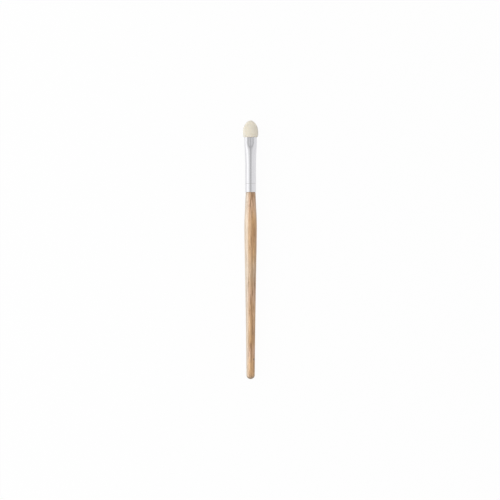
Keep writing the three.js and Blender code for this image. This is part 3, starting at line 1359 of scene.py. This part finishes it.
@dataclass(frozen=True)
class Paddle:
    """The outline of the paddle's hollow inside the foam. Sizes in millimetres.

    Attributes:
        half_thickness: half the paddle's thickness.
        blade_half: half the blade's width.
        blade_height: how far the blade stands out of the ferrule.
        blade_flare: how far up the stem has widened to the blade.
        stem_half: half the stem's width.
        stem_depth: how far the stem goes down into the ferrule.
        tip_points: how many points draw the blade's round end.
    """

    half_thickness: float = 0.7
    blade_half: float = 2.7
    blade_height: float = 7.6
    blade_flare: float = 1.6
    stem_half: float = 1.9
    stem_depth: float = 15.0
    tip_points: int = 25

    def hollow(self, mouth: float) -> Mesh:
        """The space that the paddle takes in the foam, its glue line included.

        Args:
            mouth: the ferrule's mouth along the applicator.

        Returns:
            A closed solid.
        """
        stem = self.stem_half + GLUE_LINE
        blade = self.blade_half + GLUE_LINE
        top = mouth + self.blade_height - self.blade_half
        edge = [(stem, mouth - self.stem_depth), (stem, mouth), (blade, mouth + self.blade_flare)]
        outline = [*edge, *arc((0.0, top), (blade, blade), 0.0, math.pi, self.tip_points)]
        outline += [(-half, along) for half, along in reversed(edge)]
        low = -self.half_thickness - GLUE_LINE
        bm = bmesh.new()
        face = bm.faces.new([bm.verts.new((half, along, low)) for half, along in outline])
        risen = bmesh.ops.extrude_face_region(bm, geom=[face])["geom"]
        lifted = [item for item in risen if isinstance(item, bmesh.types.BMVert)]
        bmesh.ops.translate(bm, verts=lifted, vec=(0.0, 0.0, -2 * low))
        face_outwards(bm)
        return bm


@dataclass
class Sponge:
    """The foam tip: two layers welded round their rim and necked into the ferrule. Sizes in millimetres.

    Attributes:
        datum: where the applicator lies.
        ferrule: the ferrule that holds it.
        paddle: the hollow that it is cut for.
        half_width: half the head's width.
        height: how far it stands out of the ferrule.
        half_thickness: half its thickness.
        crown: the length of the rounded end.
        crown_fullness: the exponent of the crown's outline, 2 for an ellipse and less for a point.
        bulge: how far up the lip has swollen to the full width.
        lip: how far the lip stands over the ferrule's edge.
        lip_ease: how slowly the lip swells.
        neck: how far the neck goes down into the ferrule.
        rim_pinch: how sharply the head thins towards the welded rim.
        weld_gap: the room between the layers.
        cap_end: the share of the skin's rows at which the neck's end is closed.
        neck_end: the share at which the neck reaches the ferrule's mouth.
        ledge_end: the share at which the skin has come out over the ferrule's edge.
        lip_end: the share at which the lip is fully swollen.
        sides_end: the share at which the crown starts.
        pore_sizes: the sizes of the larger and the smaller open cells.
        pore_depths: their depths.
        pore_mouth: how wide a cell opens, as a share of its size.
        pore_round: the exponent of a cell's bowl.
        pore_start: how far above its seat the skin has its full pores.
        dent_size: the size of the soft dents.
        dent_depth: their depth.
        around: facets round the skin.
        rows: rows of facets along it.
        crease_deg: edges sharper than this stay sharp.
    """

    datum: Datum
    ferrule: Ferrule
    paddle: Paddle = Paddle()
    half_width: float = 4.9
    height: float = 10.9
    half_thickness: float = 2.9
    crown: float = 7.0
    crown_fullness: float = 1.8
    bulge: float = 1.6
    lip: float = 0.15
    lip_ease: float = 2.0
    neck: float = 6.5
    rim_pinch: float = 1.3
    weld_gap: float = 0.2
    cap_end: float = 0.03
    neck_end: float = 0.11
    ledge_end: float = 0.13
    lip_end: float = 0.27
    sides_end: float = 0.38
    pore_sizes: Pair = (0.42, 0.21)
    pore_depths: Pair = (0.05, 0.022)
    pore_mouth: float = 0.55
    pore_round: float = 0.5
    pore_start: float = 0.3
    dent_size: float = 2.6
    dent_depth: float = 0.05
    around: int = 300
    rows: int = 260
    crease_deg: float = 60.0

    @property
    def seat(self) -> float:
        """Where along the applicator the lip sits on the ferrule."""
        return self.ferrule.mouth + SEAT_GAP

    def head_point(self, angle: float, along: float, width: float, thickness: float) -> Vector:
        """A point of the head's section, thinned towards the welded rim.

        Args:
            angle: the angle round the section.
            along: the section's place.
            width: its half width.
            thickness: its half thickness.

        Returns:
            The point.
        """
        lift = math.copysign(abs(math.sin(angle)) ** self.rim_pinch, math.sin(angle))
        return Vector((width * math.cos(angle), along, thickness * lift))

    def neck_point(self, angle: float, along: float) -> Vector:
        """A point of the neck, which fills the ferrule's mouth."""
        return self.ferrule.pressed_point(angle, self.ferrule.wall + GLUE_LINE, along)

    def lip_point(self, angle: float, turn: float) -> Vector:
        """A point of the lip, which swells from the ferrule's edge to the full width.

        Args:
            angle: the angle round the section.
            turn: how far the lip has turned up, from 0 to a quarter turn.

        Returns:
            The point.
        """
        mouth_half = self.ferrule.mouth_half
        mouth_width = QUARTER_TURN * (self.ferrule.radius - mouth_half) + mouth_half
        swollen = math.sin(turn) ** self.lip_ease
        width = lerp(mouth_width + self.lip, self.half_width, swollen)
        thickness = lerp(mouth_half + self.lip, self.half_thickness, swollen)
        return self.head_point(angle, self.seat + self.bulge * (1 - math.cos(turn)), width, thickness)

    def crown_point(self, angle: float, turn: float) -> Vector:
        """A point of the crown, which closes at the tip.

        Args:
            angle: the angle round the section.
            turn: how far the crown has turned in, from 0 to a quarter turn.

        Returns:
            The point.
        """
        start = self.ferrule.mouth + self.height - self.crown
        lean = 2 / self.crown_fullness
        narrowed = max(0.0, math.cos(turn)) ** lean
        along = start + self.crown * math.sin(turn) ** lean
        thickness = self.half_thickness * narrowed**self.rim_pinch
        return self.head_point(angle, along, self.half_width * narrowed, thickness)

    def skin_point(self, angle: float, share: float) -> Vector:
        """A point of the foam's skin.

        Args:
            angle: the angle round the section.
            share: how far up the skin it is, from the neck's end to the tip.

        Returns:
            The point.
        """
        foot = self.ferrule.mouth - self.neck
        if share < self.cap_end:
            return Vector((0.0, foot, 0.0)).lerp(self.neck_point(angle, foot), share / self.cap_end)
        if share < self.neck_end:
            up = share_of(share, self.cap_end, self.neck_end)
            return self.neck_point(angle, lerp(foot, self.seat, up))
        if share < self.ledge_end:
            out = share_of(share, self.neck_end, self.ledge_end)
            return self.neck_point(angle, self.seat).lerp(self.lip_point(angle, 0.0), out)
        if share < self.lip_end:
            return self.lip_point(angle, share_of(share, self.ledge_end, self.lip_end) * QUARTER_TURN)
        if share < self.sides_end:
            up = share_of(share, self.lip_end, self.sides_end)
            return self.lip_point(angle, QUARTER_TURN).lerp(self.crown_point(angle, 0.0), up)
        return self.crown_point(angle, share_of(share, self.sides_end, 1.0) * QUARTER_TURN)

    def skin(self) -> Mesh:
        """Both layers as one closed body, from a sphere whose poles are the neck's end and the tip.

        Returns:
            The closed skin, smooth as yet.
        """
        bm = bmesh.new()
        bmesh.ops.create_uvsphere(bm, u_segments=self.around, v_segments=self.rows, radius=1.0)
        for vert in bm.verts:
            share = math.asin(max(-1.0, min(1.0, vert.co.z))) / math.pi + 0.5
            vert.co = self.skin_point(math.atan2(vert.co.y, vert.co.x), share)
        face_outwards(bm)
        return bm

    def pore_depth(self, place: Vector) -> float:
        """How deep the foam's surface dips at a place, from its dents and its open cells.

        Args:
            place: the place on the smooth skin.

        Returns:
            The depth.
        """
        depth = self.dent_depth * (0.5 + 0.5 * noise.noise(place / self.dent_size))
        for size, pit in zip(self.pore_sizes, self.pore_depths):
            nearest = noise.voronoi(place / size)[0][0]
            depth += pit * clamped(1.0 - nearest / self.pore_mouth) ** self.pore_round
        return depth

    def open_cells(self, bm: Mesh) -> None:
        """Sinks the open cells into the part of the skin that shows.

        Args:
            bm: the smooth skin, which is changed.
        """
        bm.normal_update()
        depths = {
            vert: self.pore_depth(vert.co) * clamped((vert.co.y - self.seat) / self.pore_start)
            for vert in bm.verts
        }
        sunk = {vert: vert.co - vert.normal * depth for vert, depth in depths.items()}
        for vert, place in sunk.items():
            vert.co = place

    def build(self, material: Material) -> list[Piece]:
        """Makes both layers from one skin and dresses them.

        Args:
            material: the foam.

        Returns:
            The finished pieces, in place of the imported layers.
        """
        skin = self.skin()
        self.open_cells(skin)
        layers = [self.layer(side, skin.copy(), material) for side in Side]
        skin.free()
        return layers

    def layer(self, side: Side, bm: Mesh, material: Material) -> Piece:
        """One foam layer: the skin on one side of the weld, closed, and hollowed for the paddle.

        Args:
            side: which layer.
            bm: a copy of the whole skin, which is freed here.
            material: the foam.

        Returns:
            The finished piece, in place of that packed layer.
        """
        bmesh.ops.bisect_plane(
            bm,
            geom=[*bm.verts, *bm.edges, *bm.faces],
            plane_co=(0.0, 0.0, side.value * self.weld_gap / 2),
            plane_no=(0.0, 0.0, side.value),
            clear_inner=True,
        )
        bmesh.ops.holes_fill(bm, edges=[edge for edge in bm.edges if edge.is_boundary], sides=0)
        face_outwards(bm)
        name = side.name.lower()
        piece = finished_piece(f"sponge_{name}_foam", bm, self.datum, self.crease_deg)
        self.hollow_out(piece)
        return seated(piece, material, f"sponge_{name}")

    def hollow_out(self, piece: Piece) -> None:
        """Cuts the paddle's hollow out of a layer.

        Args:
            piece: the layer, whose mesh is changed.
        """
        hollow = self.paddle.hollow(self.ferrule.mouth)
        cutter = finished_piece("paddle_hollow", hollow, self.datum, self.crease_deg)
        cut = piece.modifiers.new("paddle_hollow", "BOOLEAN")
        cut.operation = "DIFFERENCE"
        cut.solver = "EXACT"
        cut.object = cutter
        graph = bpy.context.evaluated_depsgraph_get()
        hollowed = bpy.data.meshes.new_from_object(piece.evaluated_get(graph))
        piece.modifiers.clear()
        piece.data = hollowed
        bpy.data.objects.remove(cutter)


@dataclass(frozen=True)
class GluedCore:
    """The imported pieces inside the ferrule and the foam, which keep their shapes.

    Attributes:
        datum: where the applicator lies.
        plastic: the paddle's finish.
        glue: the finish of the glue round its stem and on the tenon.
    """

    datum: Datum
    plastic: InnerFinish = InnerFinish(
        name="moulded_plastic",
        clear=(0.86, 0.85, 0.82),
        cloudy=(0.80, 0.79, 0.75),
        roughness=(0.38, 0.5),
        cloud_size=0.6,
    )
    glue: InnerFinish = InnerFinish(
        name="cured_glue",
        clear=(0.66, 0.58, 0.34),
        cloudy=(0.72, 0.67, 0.48),
        roughness=(0.12, 0.3),
        cloud_size=0.9,
    )

    def dress(self, nodes: dict[str, Piece], shared: SharedEffects) -> None:
        """Gives the pieces their finishes.

        Args:
            nodes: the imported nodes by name.
            shared: the shared effects.
        """
        worn_by = {self.plastic: ("core_paddle",), self.glue: ("paddle_glue_plug", "handle_glue_bead")}
        for finish, names in worn_by.items():
            material = finish.material(self.datum, shared)
            for name in names:
                nodes[name].data.materials.clear()
                nodes[name].data.materials.append(material)
                LOG.info("%s: %s", name, finish.name)


# Studio


@dataclass(frozen=True)
class SoftBox:
    """A soft lamp on the applicator's left, aimed at its middle.

    Attributes:
        name: the lamp's name.
        size: its width and its length along the applicator, in metres.
        distance: how far away it hangs, in metres.
        from_up_deg: how far to the left of straight up.
        watts: its power.
        shows_on: the pieces that show it as a highlight. With none, it only lights matt surfaces.
    """

    name: str
    size: Pair
    distance: float
    from_up_deg: float
    watts: float
    shows_on: tuple[str, ...] = ()

    def hang(self) -> None:
        """Adds the lamp to the scene."""
        lamp = bpy.data.lights.new(self.name, "AREA")
        lamp.shape = "RECTANGLE"
        lamp.size, lamp.size_y = self.size
        lamp.energy = self.watts
        box = linked(self.name, lamp)
        lean = math.radians(self.from_up_deg)
        box.location = Vector((-math.sin(lean), 0.0, math.cos(lean))) * self.distance
        box.rotation_euler = (0.0, -lean, 0.0)
        box.visible_diffuse = not self.shows_on
        box.visible_glossy = bool(self.shows_on)
        if self.shows_on:
            receivers = bpy.data.collections.new(f"{self.name}_pieces")
            for name in self.shows_on:
                receivers.objects.link(bpy.data.objects[name])
            box.light_linking.receiver_collection = receivers


@dataclass
class Studio:
    """The floor, the light and the camera. Sizes in metres, unless they say millimetres.

    Attributes:
        datum: where the applicator lies.
        handle: the handle, which lies on the floor.
        floor_size: the floor's length and width.
        floor_drop: how far below the applicator it lies.
        floor_bounce: how much light it throws back on the applicator.
        floor_white: how bright it is where it keeps the shadow.
        shadow_share: how much of the shadow the picture shows.
        mirrored_share: how much of it bright metal shows.
        world_level: the surround's light.
        world_mirrored: its level in bright metal.
        card_levels: the grey card's levels in its middle and at its sides.
        card_dark_reach: how far from its middle it is light again.
        card_height: how high it hangs.
        card_size: its width and its length along the applicator.
        card_shift: how far right of the applicator it hangs.
        lamps: the soft boxes.
        lens_mm: the camera's focal length, in millimetres.
        sensor_mm: its sensor's width, in millimetres.
        frame_width_mm: the picture's width at the applicator's axis, in millimetres.
        aim_mm: the picture's middle across X and Y, in millimetres.
    """

    datum: Datum
    handle: Handle
    floor_size: float = 6.0
    floor_drop: float = 0.00004
    floor_bounce: float = 0.8
    floor_white: float = 0.95
    shadow_share: float = 0.045
    mirrored_share: float = 0.6
    world_level: float = 0.73
    world_mirrored: float = 0.8
    card_levels: Pair = (0.42, 0.64)
    card_dark_reach: float = 0.3
    card_height: float = 1.3
    card_size: Pair = (1.06, 3.0)
    card_shift: float = 0.12
    lamps: tuple[SoftBox, ...] = (
        SoftBox(name="soft_box", size=(0.53, 1.2), distance=0.6, from_up_deg=55.0, watts=1.7),
        SoftBox(
            name="metal_glare",
            size=(0.53, 1.2),
            distance=0.6,
            from_up_deg=66.0,
            watts=0.7,
            shows_on=("ferrule_shell",),
        ),
        SoftBox(
            name="soft_glare",
            size=(0.60, 1.2),
            distance=0.6,
            from_up_deg=67.0,
            watts=5.4,
            shows_on=("handle_wood", "sponge_front_foam", "sponge_back_foam"),
        ),
    )
    lens_mm: float = 100.0
    sensor_mm: float = 36.0
    frame_width_mm: float = 318.8
    aim_mm: Point = (-0.38, -0.2)

    def floor(self) -> None:
        """Lays the floor under the belly and the butt, which the lying applicator touches."""
        rise = self.handle.belly_radius - self.handle.butt_radius
        slope = math.atan2(rise, self.handle.belly - self.handle.dome_length)
        touch = self.datum.point(0.0, self.handle.belly, -self.handle.belly_radius)
        below = Matrix.Translation(touch - Vector((0.0, 0.0, self.floor_drop)))
        bm = bmesh.new()
        bmesh.ops.create_grid(bm, x_segments=1, y_segments=1, size=self.floor_size / 2)
        bmesh.ops.transform(bm, matrix=below @ Matrix.Rotation(-slope, 4, "X"), verts=bm.verts)
        self.stage_sheet("floor", bm, self.floor_material())

    def card(self) -> None:
        """Hangs the grey card above the camera, which bright metal shows as a dark stripe."""
        bm = bmesh.new()
        # One metre square before it is scaled
        bmesh.ops.create_grid(bm, x_segments=1, y_segments=1, size=0.5)
        bmesh.ops.scale(bm, vec=(*self.card_size, 1.0), verts=bm.verts)
        bmesh.ops.translate(bm, vec=(self.card_shift, 0.0, self.card_height), verts=bm.verts)
        material, sheet, out = self.bare_material("grey_card")
        place = sheet.add("ShaderNodeTexCoord").outputs["Object"]
        aside = sheet.math("ABSOLUTE", sheet.axis(place, 0))
        level = sheet.remap(aside, (0.0, self.card_dark_reach), self.card_levels)
        glow = sheet.add("ShaderNodeEmission", {"Strength": level}).outputs[0]
        sheet.feed(out, {0: glow})
        self.stage_sheet("grey_card", bm, material)

    @staticmethod
    def bare_material(name: str) -> tuple[Material, NodeSheet, Node]:
        """Starts a material that has no shader yet.

        Args:
            name: the material's name.

        Returns:
            The material, its node sheet and its output node.
        """
        material, sheet, shader = new_material(name)
        sheet.tree.nodes.remove(shader)
        return material, sheet, sheet.tree.nodes["Material Output"]

    @staticmethod
    def stage_sheet(name: str, bm: Mesh, material: Material) -> None:
        """Makes a flat stage object.

        Args:
            name: its name.
            bm: its mesh, which is freed here.
            material: its material.
        """
        mesh = bpy.data.meshes.new(name)
        bm.to_mesh(mesh)
        bm.free()
        mesh.materials.append(material)
        linked(name, mesh)

    @staticmethod
    def in_reflections(sheet: NodeSheet, path: Node) -> Socket:
        """1 on the rays by which gloss and glass see the surroundings, otherwise 0."""
        return sheet.math("MAXIMUM", path.outputs["Is Glossy Ray"], path.outputs["Is Transmission Ray"])

    def floor_material(self) -> Material:
        """A floor that looks white, keeps a faint shadow and throws a modest bounce.

        Returns:
            The material.
        """
        material, sheet, out = self.bare_material("white_floor")
        plain, lit = (
            sheet.add("ShaderNodeBsdfDiffuse", {"Color": (level, level, level, 1.0)}).outputs[0]
            for level in (self.floor_bounce, self.floor_white)
        )
        white = sheet.add("ShaderNodeEmission", {"Strength": 1.0}).outputs[0]
        path = sheet.add("ShaderNodeLightPath")
        in_mirror = sheet.mixed_shader(self.mirrored_share, white, lit)
        in_view = sheet.mixed_shader(self.shadow_share, white, lit)
        around = sheet.mixed_shader(self.in_reflections(sheet, path), plain, in_mirror)
        seen = sheet.mixed_shader(path.outputs["Is Camera Ray"], around, in_view)
        sheet.feed(out, {0: seen})
        return material

    def world(self) -> None:
        """Sets an even pale surround that looks white behind the object and pale in its metal."""
        world = bpy.data.worlds.new("studio")
        world.use_nodes = True
        bpy.context.scene.world = world
        sheet = NodeSheet(world.node_tree)
        path = sheet.add("ShaderNodeLightPath")
        levels = (self.world_level, self.world_mirrored)
        around = sheet.remap(self.in_reflections(sheet, path), (0.0, 1.0), levels)
        seen = sheet.math("MAXIMUM", around, path.outputs["Is Camera Ray"])
        background = world.node_tree.nodes["Background"]
        sheet.feed(background, {"Color": (1.0, 1.0, 1.0, 1.0), "Strength": seen})

    def camera(self) -> None:
        """Looks straight down on the flat of the tip, with the tip at the top of the picture."""
        lens = bpy.data.cameras.new("camera")
        lens.lens = self.lens_mm
        lens.sensor_width = self.sensor_mm
        camera = linked("camera", lens)
        distance = self.lens_mm * self.frame_width_mm / self.sensor_mm * MM
        camera.location = (self.aim_mm[0] * MM, self.aim_mm[1] * MM, self.datum.axis_z + distance)
        bpy.context.scene.camera = camera

    def set_up(self) -> None:
        """Sets up the whole studio."""
        self.floor()
        self.card()
        self.world()
        for lamp in self.lamps:
            lamp.hang()
        self.camera()
        bpy.context.scene.view_settings.view_transform = "Standard"


def main() -> None:
    """Builds the applicator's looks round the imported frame, piece by piece."""
    logging.basicConfig(level=logging.INFO, format="%(name)s: %(message)s")
    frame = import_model()
    datum = Datum.from_frame()
    shared = SharedEffects()
    handle = Handle(datum)
    handle.build(WoodFinish().material(datum, shared))
    ferrule = Ferrule(datum, handle)
    ferrule.build(MetalFinish(handle.crimp.middle(handle.rim)).material(datum, shared))
    Sponge(datum, ferrule).build(FoamFinish().material(datum, shared))
    GluedCore(datum).dress(frame["nodes"], shared)
    Studio(datum, handle).set_up()


if __name__ == "__main__":
    main()
